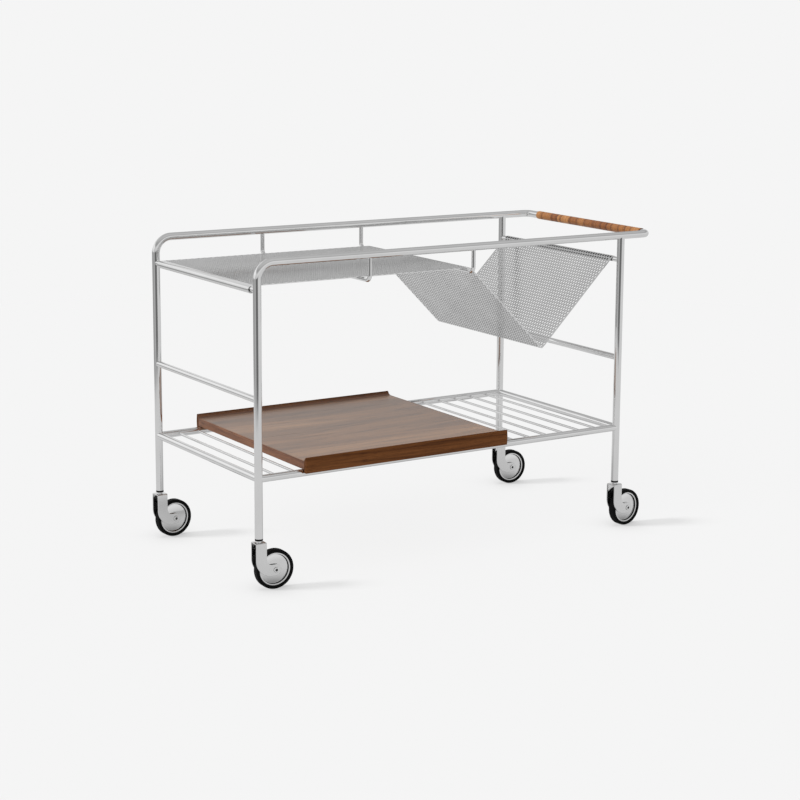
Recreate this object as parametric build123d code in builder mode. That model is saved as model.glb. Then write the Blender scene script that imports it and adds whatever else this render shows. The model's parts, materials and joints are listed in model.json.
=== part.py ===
"""A bar cart on four swivel castors.

A bent chrome tube makes both left legs, both top rails and the push handle.  A folded sheet lies between
the rails and drops into a V pocket, a wire shelf joins the legs lower down, and a wooden tray slides on it.
Units are millimetres.  +X points to the handle, +Z up, and Z is 0 on the floor.
"""

import os
from math import cos, dist, hypot, pi, radians, sin, sqrt

from build123d import *

os.makedirs("parts", exist_ok=True)

# Frame tubes
leg_spacing = 830.0  # left leg axis to right leg axis
leg_gauge = 416.0  # front leg axis to back leg axis
rail_height = 607.5  # floor to the top rails' axis
handle_reach = 70.0  # right leg axis to handle axis
tube_diameter = 15.0
tube_wall = 1.5
leg_bend_radius = 32.0  # at the tube's axis, left leg to rail
handle_bend_radius = 15.0  # at the tube's axis, rail to handle
weld_gap = 0.05  # left between a coped end and the tube it is welded to

# Bars between the legs
mid_bar_height = 356.5
mid_bar_diameter = 12.0
hem_drop = 50.0  # top rails' axis down to the hem rods' axis
hem_rod_diameter = 10.0

# Wire shelf
shelf_height = 210.5  # floor to the axis of the shelf rails
shelf_rail_diameter = 14.0
wire_diameter = 5.0
wire_count = 19

# Folded sheet and the rods under it
sheet_thickness = 1.2
sheet_inset = 21.0  # leg axis to the sheet's long edge
hem_gap = 0.1  # rolled hem to the top of its rod
hem_slack = 0.9  # the roll hangs this far below its rod
hem_left_wrap = 210.0  # degrees that the left hem turns round its rod
hem_right_wrap = 165.0
flat_length = 477.0  # left leg axis to the fold
pocket_slope = 45.0  # degrees that both sides of the V pocket lean
fold_radius = 4.0  # on the sheet's underside
support_diameter = 8.0
support_bend_radius = 10.0
support_near = 236.0  # left leg axis to the first support rod
support_fold_gap = 8.0  # second support rod to the fold
openings_across = 10  # a plain grid that stands for the fine perforation
opening_diameter = 24.0
opening_margin = 12.0  # hem, fold or pocket bottom to the grid

# Wrapped grip on the handle
grip_diameter = 17.4
grip_front_gap = 5.5  # front bend to the wrap's end
grip_back_gap = 26.5
core_gap = 0.05  # tube to wrap core, and core to strand
strand_diameter = 0.7
strand_turns = 24
strand_end_margin = 3.0  # core end to the first turn

# Castors
wheel_diameter = 75.0
tyre_width = 16.0
tyre_depth = 6.0  # tread to the rim
tyre_shoulder_radius = 2.5
rim_gap = 0.05
trail = 29.5  # swivel axis to axle
fork_thickness = 2.0
fork_side_gap = 1.5  # tyre to fork arm
fork_crown_gap = 14.5  # tread to the underside of the fork's top
fork_arm_width = 21.5
fork_arm_end = 8.5  # straight stretch from the arm's bend to the axle
fork_corner_radius = 2.5
stem_diameter = 8.0
stem_length = 30.0  # above the fork's top
stem_head_diameter = 12.0
stem_head_height = 2.0
stem_chamfer = 1.0
running_gap = 0.05  # radial clearance of each turning shaft
swivel_gap = 0.3  # fork's top to the collar above it
collar_diameter = 15.0
collar_height = 6.7
insert_length = 34.0  # plug inside the leg
axle_diameter = 6.0
axle_head_diameter = 10.6
axle_head_height = 2.2
axle_head_round = 1.3
nut_width = 10.0  # across flats
nut_height = 4.0
hub_diameter = 14.0
hub_end_gap = 0.6  # hub to fork arm
rim_width = 5.0
cap_skin = 0.4  # hub cap's flat ring
cap_ring_width = 2.9  # raised ring at the cap's edge
cap_ring_height = 3.4
cap_groove_width = 2.0
cap_dome_edge = 3.0  # height of the dome's edge
castor_heading = {  # degrees that each wheel trails off +X, towards the front
    "front_left": 3.0,
    "back_left": -4.0,
    "front_right": -6.0,
    "back_right": 2.5,
}

# Tray
tray_length = 454.0
tray_start = 91.0  # left leg axis to the tray's left end, at rest
tray_thickness = 16.0
tray_gap = 0.3  # shelf rail to the tray's underside
lip_thickness = 8.5
lip_gap = 0.5  # shelf rail to the lip beside it
lip_drop = 6.5  # lip below the tray's underside
lip_rise = 7.5  # lip above the tray's top
lip_bow = 1.5  # bulge of the lip's outer face
lip_crest = 3.0  # flat top of the lip, before its edges are rounded
lip_cove = 1.2  # hollow between the lip's top and the board
lip_round = 1.2
board_round = 0.6

# Derived sizes
tube_radius = tube_diameter / 2
bore_radius = tube_radius - tube_wall
half_gauge = leg_gauge / 2
left_x = tube_radius - (tube_radius + leg_spacing + handle_reach + grip_diameter / 2) / 2
right_x = left_x + leg_spacing
middle_x = (left_x + right_x) / 2
handle_x = right_x + handle_reach
mid_bar_radius = mid_bar_diameter / 2
hem_rod_height = rail_height - hem_drop
hem_rod_radius = hem_rod_diameter / 2
shelf_rail_radius = shelf_rail_diameter / 2
wheel_radius = wheel_diameter / 2
fork_top = wheel_diameter + fork_crown_gap + fork_thickness
foot_z = fork_top + swivel_gap + collar_height
sides = {"front": -half_gauge, "back": half_gauge}
ends = {"left": left_x, "right": right_x}


def save(piece, name):
    """Name a finished piece and write it to its own file."""
    piece.label = name
    export_step(piece, f"parts/{name}.step")


def along_x(x, y, z):
    """A place whose cylinder lies along X."""
    return Location((x, y, z), (0, 90, 0))


def along_y(x, y, z):
    """A place whose cylinder lies along Y."""
    return Location((x, y, z), (90, 0, 0))


# Bent tube: left legs, top rails and handle
with BuildPart() as frame_tube:
    with BuildLine() as tube_route:
        FilletPolyline(
            (left_x, -half_gauge, foot_z),
            (left_x, -half_gauge, rail_height),
            (handle_x, -half_gauge, rail_height),
            (handle_x, half_gauge, rail_height),
            (left_x, half_gauge, rail_height),
            (left_x, half_gauge, foot_z),
            radius=[leg_bend_radius, handle_bend_radius, handle_bend_radius, leg_bend_radius],
        )
    with BuildSketch(Plane(tube_route.line @ 0, z_dir=tube_route.line % 0)):
        Circle(tube_radius)
        Circle(bore_radius, mode=Mode.SUBTRACT)
    sweep()
save(frame_tube.part, "frame_tube")

# Right legs, coped to the underside of the top rails
for side, y in sides.items():
    with BuildPart() as right_leg:
        with BuildSketch(Plane.XY.offset(foot_z)):
            with Locations((right_x, y)):
                Circle(tube_radius)
                Circle(bore_radius, mode=Mode.SUBTRACT)
        extrude(amount=rail_height - foot_z)
        with Locations(along_x(right_x, y, rail_height)):
            Cylinder(tube_radius + weld_gap, 2 * tube_diameter, mode=Mode.SUBTRACT)
    save(right_leg.part, f"right_leg_{side}")


def cross_bar(x, z, radius):
    """A bar across the cart, coped to the two legs at its ends."""
    with BuildPart() as bar:
        with Locations(along_y(x, 0, z)):
            Cylinder(radius, leg_gauge)
        with Locations(*[(x, y, z) for y in sides.values()]):
            Cylinder(tube_radius + weld_gap, 2 * tube_diameter, mode=Mode.SUBTRACT)
    return bar.part


# Hem rods and mid bars
for end, x in ends.items():
    save(cross_bar(x, hem_rod_height, hem_rod_radius), f"hem_rod_{end}")
    save(cross_bar(x, mid_bar_height, mid_bar_radius), f"mid_bar_{end}")

# Shelf rails along the cart
for side, y in sides.items():
    with BuildPart() as shelf_rail:
        with Locations(along_x(middle_x, y, shelf_height)):
            Cylinder(shelf_rail_radius, leg_spacing)
        with Locations(*[(x, y, shelf_height) for x in ends.values()]):
            Cylinder(tube_radius + weld_gap, 2 * tube_diameter, mode=Mode.SUBTRACT)
    save(shelf_rail.part, f"shelf_rail_{side}")

# Shelf end bars, coped to the legs and to the rails beside them
for end, x in ends.items():
    with BuildPart() as shelf_end:
        add(cross_bar(x, shelf_height, shelf_rail_radius))
        with Locations(*[along_x(middle_x, y, shelf_height) for y in sides.values()]):
            Cylinder(shelf_rail_radius + weld_gap, leg_spacing, mode=Mode.SUBTRACT)
    save(shelf_end.part, f"shelf_end_{end}")

# Shelf wires, coped to the rails
wire_pitch = leg_spacing / (wire_count + 1)
with BuildPart() as shelf_wires:
    with Locations(*[along_y(left_x + i * wire_pitch, 0, shelf_height) for i in range(1, wire_count + 1)]):
        Cylinder(wire_diameter / 2, leg_gauge)
    with Locations(*[along_x(middle_x, y, shelf_height) for y in sides.values()]):
        Cylinder(shelf_rail_radius + weld_gap, leg_spacing, mode=Mode.SUBTRACT)
save(shelf_wires.part, "shelf_wires")

# Folded sheet: its underside runs from the left hem, along the flat, through the V and over the right hem
hem_radius = hem_rod_radius + hem_gap + hem_slack
hem_z = hem_rod_height - hem_slack
slope = radians(pocket_slope)
sheet_under = hem_z + hem_radius
fold_x = left_x + flat_length
hook_x = right_x - hem_radius * sin(slope)
hook_z = hem_z + hem_radius * cos(slope)
pocket_fall = ((hook_x - fold_x) / cos(slope) + (sheet_under - hook_z) / sin(slope)) / 2
pocket_x = fold_x + pocket_fall * cos(slope)
pocket_z = sheet_under - pocket_fall * sin(slope)

with BuildPart() as folded_sheet:
    with BuildSketch(Plane.XZ):
        with BuildLine():
            CenterArc((left_x, hem_z), hem_radius, 90 + hem_left_wrap, -hem_left_wrap)
            FilletPolyline(
                (left_x, sheet_under),
                (fold_x, sheet_under),
                (pocket_x, pocket_z),
                (hook_x, hook_z),
                radius=fold_radius,
            )
            CenterArc((right_x, hem_z), hem_radius, 90 + pocket_slope, -hem_right_wrap)
            offset(amount=sheet_thickness, side=Side.LEFT)
        make_face()
    extrude(amount=half_gauge - sheet_inset, both=True)
    stretches = [  # the flat and both sides of the pocket, on the sheet's underside
        ((left_x, sheet_under), (fold_x, sheet_under)),
        ((fold_x, sheet_under), (pocket_x, pocket_z)),
        ((pocket_x, pocket_z), (hook_x, hook_z)),
    ]
    opening_pitch = 2 * (half_gauge - sheet_inset) / openings_across
    for start, finish in stretches:
        begin, end = Vector(start[0], 0, start[1]), Vector(finish[0], 0, finish[1])
        rows = int(((end - begin).length - 2 * opening_margin) / opening_pitch)
        underside = Plane((begin + end) / 2, x_dir=end - begin, z_dir=(end - begin).cross(Vector(0, 1, 0)))
        with BuildSketch(underside):
            with GridLocations(opening_pitch, opening_pitch, rows, openings_across):
                Circle(opening_diameter / 2)
        extrude(amount=2 * sheet_thickness, both=True, mode=Mode.SUBTRACT)
save(folded_sheet.part, "folded_sheet")

# Support rods: they hang from the top rails and cross under the sheet
support_z = sheet_under - weld_gap - support_diameter / 2
support_places = {"near": left_x + support_near, "fold": fold_x - support_fold_gap}
for place, x in support_places.items():
    with BuildPart() as support_rod:
        with BuildLine() as support_route:
            FilletPolyline(
                (x, -half_gauge, rail_height),
                (x, -half_gauge, support_z),
                (x, half_gauge, support_z),
                (x, half_gauge, rail_height),
                radius=support_bend_radius,
            )
        with BuildSketch(Plane(support_route.line @ 0, z_dir=support_route.line % 0)):
            Circle(support_diameter / 2)
        sweep()
        with Locations(*[along_x(x, y, rail_height) for y in sides.values()]):
            Cylinder(tube_radius + weld_gap, 2 * tube_diameter, mode=Mode.SUBTRACT)
    save(support_rod.part, f"support_rod_{place}")

# Grip: a plain core on the handle, and the strand wound over it
grip_length = leg_gauge - 2 * handle_bend_radius - grip_front_gap - grip_back_gap
grip_y = (grip_front_gap - grip_back_gap) / 2
strand_radius = grip_diameter / 2 - strand_diameter / 2  # handle axis to strand axis
core_radius = strand_radius - strand_diameter / 2 - core_gap
with BuildPart() as grip_core:
    with Locations(along_y(handle_x, grip_y, rail_height)):
        Cylinder(core_radius, grip_length)
        Cylinder(tube_radius + core_gap, grip_length, mode=Mode.SUBTRACT)
save(grip_core.part, "grip_core")

wound_length = grip_length - 2 * strand_end_margin
strand_pitch = wound_length / strand_turns
turn_length = hypot(2 * pi * strand_radius, strand_pitch)


def strand_point(quarter):
    """The strand's place and direction after a number of quarter turns."""
    angle = quarter * pi / 2
    place = Vector(
        handle_x + strand_radius * cos(angle),
        grip_y + quarter * strand_pitch / 4 - wound_length / 2,
        rail_height + strand_radius * sin(angle),
    )
    round_speed = 2 * pi * strand_radius / turn_length
    heading = Vector(-sin(angle) * round_speed, strand_pitch / turn_length, cos(angle) * round_speed)
    return place, heading


def biarc(quarter):
    """Two arcs that carry the strand through one quarter turn."""
    start, start_way = strand_point(quarter)
    finish, finish_way = strand_point(quarter + 1)
    step = finish - start
    both = start_way + finish_way
    spread = 4 - both.dot(both)
    reach = (sqrt(step.dot(both) ** 2 + spread * step.dot(step)) - step.dot(both)) / spread
    first_corner = start + start_way * reach
    second_corner = finish - finish_way * reach
    joint = (first_corner + second_corner) / 2
    TangentArc(start, joint, tangent=start_way)
    TangentArc(joint, finish, tangent=second_corner - first_corner)


with BuildPart() as grip_strand:
    with BuildLine() as strand_route:
        first_place, first_way = strand_point(0)
        last_place, last_way = strand_point(4 * strand_turns)
        Line(first_place - first_way * strand_diameter, first_place)
        for quarter in range(4 * strand_turns):
            biarc(quarter)
        Line(last_place, last_place + last_way * strand_diameter)
    with BuildSketch(Plane(strand_route.line @ 0, z_dir=strand_route.line % 0)):
        Circle(strand_diameter / 2)
    sweep()
save(grip_strand.part, "grip_strand")

# The strand's least gap to itself, measured between points at least half a turn apart
points_per_turn = 16
trace = [
    tuple(strand_point(4 * i / points_per_turn)[0])
    for i in range(strand_turns * points_per_turn + 1)
]
least_gap = min(
    dist(trace[i], trace[j]) - strand_diameter
    for i in range(len(trace))
    for j in range(i + points_per_turn // 2, min(i + 2 * points_per_turn, len(trace)))
)
print(f"grip strand: least gap to itself {least_gap:.2f} mm over {strand_turns} turns")

# Castor pieces, made once with the swivel axis on Z and the axle trailing along +X
stem_radius = stem_diameter / 2
axle_radius = axle_diameter / 2
fork_inside = tyre_width + 2 * fork_side_gap
fork_width = fork_inside + 2 * fork_thickness
plate_under = fork_top - fork_thickness
rim_radius = wheel_radius - tyre_depth - rim_gap
hub_half = fork_inside / 2 - hub_end_gap
axle_place = along_y(trail, 0, wheel_radius)

with BuildPart() as leg_insert:
    with Locations((0, 0, foot_z)):
        Cylinder(
            bore_radius - weld_gap, insert_length, align=(Align.CENTER, Align.CENTER, Align.MIN)
        )
        Cylinder(
            collar_diameter / 2, collar_height, align=(Align.CENTER, Align.CENTER, Align.MAX)
        )
    Cylinder(stem_radius + running_gap, 4 * (foot_z + insert_length), mode=Mode.SUBTRACT)

with BuildPart() as fork:
    with BuildSketch(Plane.XZ):
        with BuildLine():
            FilletPolyline(
                (0, fork_top), (0, wheel_radius), (trail, wheel_radius), radius=trail - fork_arm_end
            )
            offset(amount=fork_arm_width / 2)
        make_face()
        with Locations((0, fork_top)):
            Rectangle(
                2 * fork_arm_width,
                fork_arm_width,
                align=(Align.CENTER, Align.MIN),
                mode=Mode.SUBTRACT,
            )
    extrude(amount=fork_width / 2, both=True)
    fillet(fork.edges().filter_by(Axis.X).group_by(Axis.Z)[-1], fork_corner_radius)
    with Locations((trail, 0, plate_under)):
        Box(
            2 * (trail + fork_arm_width),
            fork_inside,
            wheel_diameter + fork_crown_gap,
            align=(Align.CENTER, Align.CENTER, Align.MAX),
            mode=Mode.SUBTRACT,
        )
    with Locations((0, 0, fork_top)):
        Cylinder(stem_radius + weld_gap, 4 * fork_thickness, mode=Mode.SUBTRACT)
    with Locations(axle_place):
        Cylinder(axle_radius + weld_gap, 2 * fork_width, mode=Mode.SUBTRACT)

with BuildPart() as stem:
    with Locations((0, 0, plate_under - weld_gap)):
        Cylinder(stem_radius, stem_length + fork_thickness, align=(Align.CENTER, Align.CENTER, Align.MIN))
        Cylinder(
            stem_head_diameter / 2, stem_head_height, align=(Align.CENTER, Align.CENTER, Align.MAX)
        )
    chamfer(stem.edges().sort_by(Axis.Z)[-1], stem_chamfer)

bolt_tip = fork_width / 2 + weld_gap + nut_height
with BuildPart() as axle_bolt:
    with BuildSketch(Plane.XZ.offset(fork_width / 2 + weld_gap)):
        with Locations((trail, wheel_radius)):
            Circle(axle_head_diameter / 2)
    extrude(amount=axle_head_height)
    fillet(axle_bolt.edges().sort_by(Axis.Y)[0], axle_head_round)
    with BuildSketch(Plane.XZ.offset(fork_width / 2 + weld_gap)):
        with Locations((trail, wheel_radius)):
            Circle(axle_radius)
    extrude(amount=-(fork_width / 2 + weld_gap + bolt_tip))

with BuildPart() as axle_nut:
    with BuildSketch(Plane.XZ.offset(-fork_width / 2 - weld_gap)):
        with Locations((trail, wheel_radius)):
            RegularPolygon(nut_width / 2, 6, major_radius=False)
            Circle(axle_radius + weld_gap, mode=Mode.SUBTRACT)
    extrude(amount=-nut_height)

with BuildPart() as wheel_core:
    with Locations(axle_place):
        Cylinder(rim_radius, rim_width)
        Cylinder(hub_diameter / 2, 2 * hub_half)
        Cylinder(axle_radius + running_gap, 3 * hub_half, mode=Mode.SUBTRACT)

# Hub caps: a flat ring on the rim, a raised ring at its edge, a groove, and a dome up to the hub
cap_seat = rim_width / 2 + weld_gap
cap_edge = rim_radius - weld_gap
dome_radius = cap_edge - cap_ring_width - cap_groove_width
cap_bore = hub_diameter / 2 + weld_gap
cap_face = cap_seat + cap_skin
dome_top = hub_half
with BuildPart() as hub_caps:
    with BuildSketch(Plane.XY):
        with BuildLine():
            rim_side = Polyline(
                (cap_bore, dome_top),
                (cap_bore, cap_seat),
                (cap_edge, cap_seat),
                (cap_edge, cap_seat + cap_ring_height),
                (cap_edge - cap_ring_width, cap_seat + cap_ring_height),
                (cap_edge - cap_ring_width, cap_face),
                (dome_radius, cap_face),
                (dome_radius, cap_seat + cap_dome_edge),
            )
            TangentArc(rim_side @ 0, rim_side @ 1, tangent=(1, 0))
        make_face()
    revolve(axis=Axis.Y)
    mirror(about=Plane.XZ)
wheel_caps = hub_caps.part.moved(Location((trail, 0, wheel_radius)))

with BuildPart() as tyre:
    with Locations(axle_place):
        Cylinder(wheel_radius, tyre_width)
    fillet(tyre.edges().filter_by(GeomType.CIRCLE), tyre_shoulder_radius)
    with Locations(axle_place):
        Cylinder(rim_radius + rim_gap, 2 * tyre_width, mode=Mode.SUBTRACT)

castor_pieces = {
    "leg_insert": leg_insert.part,
    "fork": fork.part,
    "stem": stem.part,
    "axle_bolt": axle_bolt.part,
    "axle_nut": axle_nut.part,
    "wheel_core": wheel_core.part,
    "hub_caps": wheel_caps,
    "tyre": tyre.part,
}
for corner, heading in castor_heading.items():
    side, end = corner.split("_")
    castor_place = Location((ends[end], sides[side], 0), (0, 0, -heading))
    for name, piece in castor_pieces.items():
        save(piece.moved(castor_place), f"{name}_{corner}")

# Tray: a board on the shelf rails with a lip along each long side
tray_under = shelf_height + shelf_rail_radius + tray_gap
tray_top = tray_under + tray_thickness
board_half = half_gauge + shelf_rail_radius + lip_gap
tray_x = left_x + tray_start + tray_length / 2
with BuildPart() as tray_board:
    with Locations((tray_x, 0, tray_under)):
        Box(tray_length, 2 * board_half, tray_thickness, align=(Align.CENTER, Align.CENTER, Align.MIN))
    fillet(tray_board.edges().filter_by(Axis.Y), board_round)
save(tray_board.part, "tray_board")

# Lips: bowed outside, flat against the board, and hollowed from their top down to it
lip_foot = tray_under - lip_drop
lip_top = tray_top + lip_rise
lip_edge = lip_thickness - lip_bow
crest_inside = lip_edge - lip_crest
slant = hypot(crest_inside, lip_rise)
for side, y in sides.items():
    outward = y / half_gauge

    def at(out, z):
        """A point of the lip's profile, by its distance outside the board's edge."""
        return outward * (board_half + out), z

    with BuildPart() as tray_lip:
        with BuildSketch(Plane.YZ.offset(tray_x)):
            with BuildLine():
                Polyline(at(0, tray_top), at(0, lip_foot), at(lip_edge, lip_foot))
                ThreePointArc(
                    at(lip_edge, lip_foot), at(lip_thickness, (lip_foot + lip_top) / 2), at(lip_edge, lip_top)
                )
                Line(at(lip_edge, lip_top), at(crest_inside, lip_top))
                ThreePointArc(
                    at(crest_inside, lip_top),
                    at(
                        crest_inside / 2 + lip_cove * lip_rise / slant,
                        (lip_top + tray_top) / 2 - lip_cove * crest_inside / slant,
                    ),
                    at(0, tray_top),
                )
            make_face()
        extrude(amount=tray_length / 2, both=True)
        long_edges = tray_lip.edges().filter_by(Axis.X).group_by(Axis.Z)
        fillet(long_edges[0] + long_edges[-1], lip_round)
    save(tray_lip.part, f"tray_lip_{side}")
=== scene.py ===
"""Looks of the bar cart: chrome tubes, perforated sheet, cane grip, walnut tray and castors.

Lengths are in metres.
"""

import json
from math import asin, cos, degrees, pi, radians, sin, sqrt, tan

import bmesh
import bpy
import numpy as np
from mathutils import Matrix, Quaternion, Vector


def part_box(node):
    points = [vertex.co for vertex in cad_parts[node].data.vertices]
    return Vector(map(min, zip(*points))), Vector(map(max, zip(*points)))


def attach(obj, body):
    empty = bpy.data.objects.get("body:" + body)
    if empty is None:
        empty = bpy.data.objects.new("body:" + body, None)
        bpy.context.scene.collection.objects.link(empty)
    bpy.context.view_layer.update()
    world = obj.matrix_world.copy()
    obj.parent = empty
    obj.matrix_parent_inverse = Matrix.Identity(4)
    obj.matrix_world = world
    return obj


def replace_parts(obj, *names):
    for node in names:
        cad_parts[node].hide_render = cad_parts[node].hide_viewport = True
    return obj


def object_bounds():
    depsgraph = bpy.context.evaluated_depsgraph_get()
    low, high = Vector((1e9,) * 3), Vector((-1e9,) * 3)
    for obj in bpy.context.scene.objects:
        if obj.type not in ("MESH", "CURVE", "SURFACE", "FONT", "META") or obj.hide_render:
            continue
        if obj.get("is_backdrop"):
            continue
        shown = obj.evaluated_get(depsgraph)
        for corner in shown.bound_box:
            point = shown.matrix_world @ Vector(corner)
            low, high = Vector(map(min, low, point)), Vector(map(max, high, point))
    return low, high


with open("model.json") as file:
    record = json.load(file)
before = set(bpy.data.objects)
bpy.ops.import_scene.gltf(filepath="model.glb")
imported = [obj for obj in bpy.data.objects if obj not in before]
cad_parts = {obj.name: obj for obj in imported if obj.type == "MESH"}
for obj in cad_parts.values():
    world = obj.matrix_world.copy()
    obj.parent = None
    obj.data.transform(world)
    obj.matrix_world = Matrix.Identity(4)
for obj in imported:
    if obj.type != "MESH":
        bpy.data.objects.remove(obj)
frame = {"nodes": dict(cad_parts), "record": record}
cad_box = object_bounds()

MM = 0.001
CORNERS = ("front_left", "back_left", "front_right", "back_right")
joints = {joint["name"]: joint for joint in frame["record"]["behaviour"]["joints"]}


# Shader nodes

# Sockets of the mix node that take and give colours
MIX_FACTOR, MIX_FIRST, MIX_SECOND, MIX_RESULT = 0, 6, 7, 2


def add(tree, kind, inputs=None, **settings):
    """A node whose inputs are given as numbers, colours or the sockets that feed them."""
    made = tree.nodes.new(kind)
    for name, value in settings.items():
        setattr(made, name, value)
    for name, value in (inputs or {}).items():
        if isinstance(value, bpy.types.NodeSocket):
            tree.links.new(value, made.inputs[name])
        else:
            made.inputs[name].default_value = value
    return made


def new_finish(name):
    """A node material with its principled shader and its object coordinates."""
    made = bpy.data.materials.new(name)
    made.use_nodes = True
    tree = made.node_tree
    return made, tree, tree.nodes["Principled BSDF"], add(tree, "ShaderNodeTexCoord").outputs["Object"]


def calc(tree, operation, *values):
    """One arithmetic step on sockets or numbers."""
    return add(tree, "ShaderNodeMath", dict(enumerate(values)), operation=operation).outputs[0]


def grey(tone):
    """A colour of one tone."""
    return tone, tone, tone, 1.0


def noise(tree, coordinates, scale, detail=3.0, roughness=0.5, distortion=0.0):
    """Noise from 0 to 1. Its scale, in cells per metre, is one number or one for each axis."""
    scales = scale if isinstance(scale, tuple) else (scale, scale, scale)
    stretched = add(tree, "ShaderNodeMapping", {"Vector": coordinates, "Scale": scales}).outputs[0]
    return add(tree, "ShaderNodeTexNoise", {"Vector": stretched, "Scale": 1.0, "Detail": detail,
                                            "Roughness": roughness, "Distortion": distortion}).outputs[0]


def ramp(tree, factor, *stops):
    """A colour ramp through (position, colour) stops. A single number is a grey."""
    made = add(tree, "ShaderNodeValToRGB", {"Fac": factor})
    elements = made.color_ramp.elements
    while len(elements) < len(stops):
        elements.new(0.5)
    for element, (position, colour) in zip(elements, stops):
        element.position = position
        element.color = (*colour, 1.0) if isinstance(colour, tuple) else grey(colour)
    return made.outputs["Color"]


def spread(tree, value, low, high, start=0.0, stop=1.0, kind="LINEAR"):
    """A value between start and stop, stretched to run from low to high."""
    ends = {"From Min": start, "From Max": stop, "To Min": low, "To Max": high}
    return add(tree, "ShaderNodeMapRange", {"Value": value, **ends}, interpolation_type=kind).outputs[0]


def mixed(tree, factor, first, second, blend="MIX"):
    """Two colours mixed by a factor."""
    inputs = {MIX_FACTOR: factor, MIX_FIRST: first, MIX_SECOND: second}
    return add(tree, "ShaderNodeMix", inputs, data_type="RGBA", blend_type=blend).outputs[MIX_RESULT]


def bump(tree, height, shader, strength, distance):
    """Relief on a shader from a height between 0 and 1."""
    made = add(tree, "ShaderNodeBump", {"Height": height, "Strength": strength, "Distance": distance})
    tree.links.new(made.outputs[0], shader.inputs["Normal"])


# Finishes

white = (1, 1, 1)
grain_depth = 0.1*MM
pore_depth = 0.12*MM
cloud_low, cloud_high = 0.3, 0.7


def metal(name, low, high, roughness, grain=300, relief=0.0):
    """Bare or plated metal whose tone and polish vary a little."""
    made, tree, shader, place = new_finish(name)
    shader.inputs["Metallic"].default_value = 1.0
    cloud = noise(tree, place, 14, detail=4.0)
    streak = noise(tree, place, grain, detail=2.0)
    tree.links.new(ramp(tree, cloud, (cloud_low, low), (cloud_high, high)), shader.inputs["Base Color"])
    tree.links.new(spread(tree, streak, *roughness), shader.inputs["Roughness"])
    if relief:
        bump(tree, streak, shader, relief, grain_depth)
    return made


def walnut(name, along, shades, lined, gloss, specular, haze):
    """Oiled walnut: growth lines drawn out along one axis, fine figure and short dark pores.

    A haze lies over it at low angles.
    """
    made, tree, shader, place = new_finish(name)
    shader.inputs["Specular IOR Level"].default_value = specular
    shader.inputs["Sheen Weight"].default_value = haze
    shader.inputs["Sheen Roughness"].default_value = 0.4
    lines_per_swing = 13.0

    def drawn_out(length, width):
        """Cells per metre along the grain and across it."""
        return tuple(length if axis == along else width for axis in "XYZ")

    growth = noise(tree, place, drawn_out(1.5, 17), detail=2.5, roughness=0.45, distortion=0.5)
    figure = noise(tree, place, drawn_out(6, 420), detail=4.0, roughness=0.7, distortion=0.3)
    pores = noise(tree, place, drawn_out(45, 1300), detail=2.0)
    lines = calc(tree, "PINGPONG", calc(tree, "MULTIPLY", growth, lines_per_swing), 1.0)
    wide = ramp(tree, growth, *zip((0.32, 0.5, 0.7), shades))
    late = ramp(tree, lines, (0.02, (0.45, 0.40, 0.36)), (0.24, (0.86, 0.83, 0.80)), (0.7, white))
    fine = ramp(tree, figure, (0.34, (0.42, 0.36, 0.32)), (0.6, white))
    flecks = ramp(tree, pores, (0.33, (0.5, 0.44, 0.4)), (0.43, white))
    colour = mixed(tree, lined, wide, late, "MULTIPLY")
    colour = mixed(tree, 0.8, colour, fine, "MULTIPLY")
    tree.links.new(mixed(tree, 0.9, colour, flecks, "MULTIPLY"), shader.inputs["Base Color"])
    tree.links.new(spread(tree, figure, *gloss), shader.inputs["Roughness"])
    bump(tree, pores, shader, 0.2, pore_depth)
    return made


def cane(name, shades):
    """Wound cane: lengths of strip of differing brown, dark where they meet.

    Fine fibres run along the winding.
    """
    made, tree, shader, place = new_finish(name)
    sway_reach = 1.5*MM
    lengths_per_metre = 42.0
    along = add(tree, "ShaderNodeSeparateXYZ", {0: place}).outputs["Y"]
    sway = spread(tree, noise(tree, place, (60, 25, 60), detail=1.0), -sway_reach, sway_reach)
    run = calc(tree, "ADD", along, sway)
    cells = {"W": run, "Scale": lengths_per_metre, "Randomness": 1.0}
    length_tone = add(tree, "ShaderNodeTexVoronoi", cells, voronoi_dimensions="1D").outputs["Color"]
    tone, depth = add(tree, "ShaderNodeSeparateColor", {0: length_tone}).outputs[:2]
    meeting = add(tree, "ShaderNodeTexVoronoi", cells, voronoi_dimensions="1D",
                  feature="DISTANCE_TO_EDGE").outputs[0]
    turns = noise(tree, place, (0, 330, 0), detail=2.0)
    fibres = noise(tree, place, (40, 2600, 40), detail=2.0)
    wide = ramp(tree, tone, *zip((0.0, 0.5, 1.0), shades))
    joint = ramp(tree, meeting, (0.03, (0.26, 0.17, 0.12)), (0.10, (0.66, 0.58, 0.50)), (0.22, white))
    each = ramp(tree, turns, (0.32, (0.55, 0.46, 0.38)), (0.56, white))
    thread = ramp(tree, fibres, (0.3, (0.78, 0.73, 0.68)), (0.6, white))
    darkness = spread(tree, depth, 0.3, 1.0)
    colour = mixed(tree, 1.0, mixed(tree, darkness, wide, joint, "MULTIPLY"), each, "MULTIPLY")
    tree.links.new(mixed(tree, 0.9, colour, thread, "MULTIPLY"), shader.inputs["Base Color"])
    tree.links.new(spread(tree, turns, 0.34, 0.5), shader.inputs["Roughness"])
    bump(tree, fibres, shader, 0.2, grain_depth)
    return made


def moulded(name, low, high, roughness, grain, relief, specular):
    """Moulded plastic or rubber with a fine matt grain."""
    made, tree, shader, place = new_finish(name)
    shader.inputs["Specular IOR Level"].default_value = specular
    cloud = noise(tree, place, 60, detail=4.0)
    fine = noise(tree, place, grain, detail=2.0)
    tree.links.new(ramp(tree, cloud, (cloud_low, low), (cloud_high, high)), shader.inputs["Base Color"])
    tree.links.new(spread(tree, cloud, *roughness), shader.inputs["Roughness"])
    bump(tree, fine, shader, relief, grain_depth)
    return made


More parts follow.
